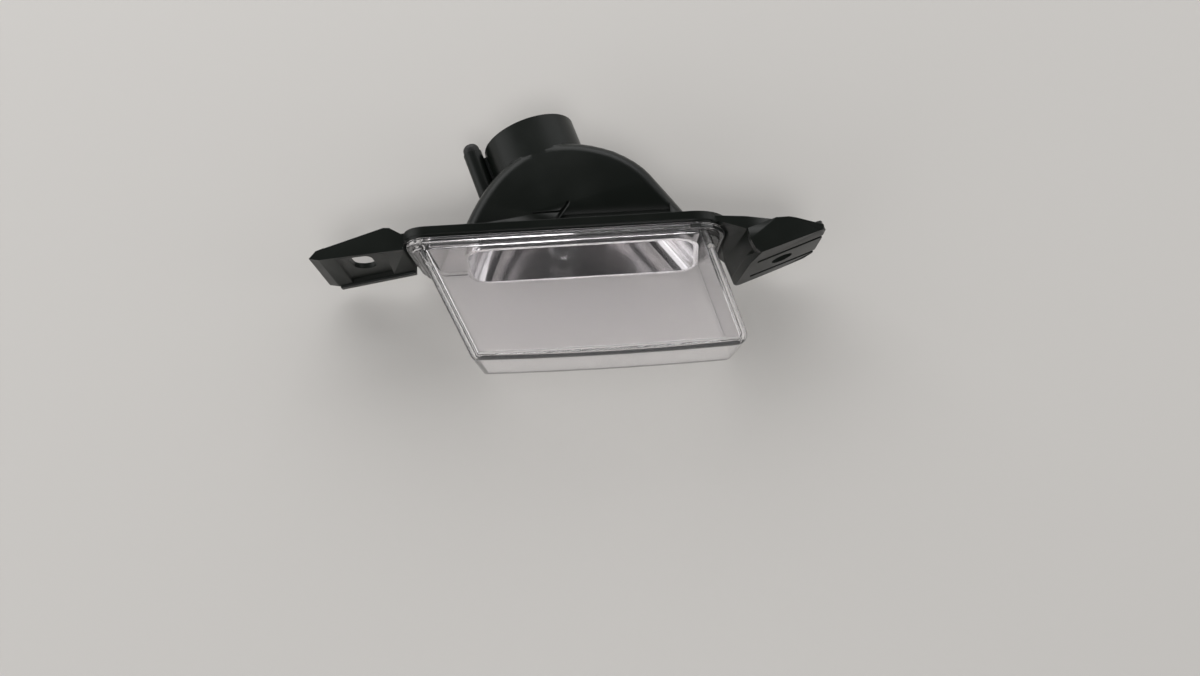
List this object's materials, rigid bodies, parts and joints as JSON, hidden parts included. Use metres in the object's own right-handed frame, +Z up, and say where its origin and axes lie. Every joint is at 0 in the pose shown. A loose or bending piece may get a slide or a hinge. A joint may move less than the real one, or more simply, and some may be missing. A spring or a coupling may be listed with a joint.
{
  "type": "reversing light",
  "caption": "Clear-lensed reversing light for a rear bumper, with a black moulded housing, domed reflector, bulb collar, vent tube and screw ears.",
  "frame": {"origin": "on the bulb axis, in the front face of the lens flange", "axes": "+Y along the bulb axis to the rear, light leaves towards -Y, +X to the right seen from the front of the picture, +Z up"},
  "size_m": [0.1773, 0.1089, 0.045],
  "materials": {
    "housing": "black moulded plastic, fine grain",
    "lens": "clear, polished, lightly scuffed",
    "sealant": "cured bead",
    "reflector": "metallised plastic, slightly dull",
    "vent_plug": "moulded",
    "bulb_holder": "moulded, heat resistant",
    "seal": "soft rubber",
    "contact": "rolled strip",
    "bulb_glass": "clear blown glass",
    "lead_wire": "drawn wire",
    "filament": "coiled wire"
  },
  "bodies": {
    "root": {"housing": "housing", "lens": "lens", "lens_sealant": "sealant", "reflector": "reflector", "vent_plug": "vent_plug", "bulb_holder": "bulb_holder", "holder_seal": "seal", "live_contact": "contact", "earth_contact": "contact", "bulb_glass": "bulb_glass", "bulb_leads": "lead_wire", "filament": "filament"}
  },
  "joints": []
}
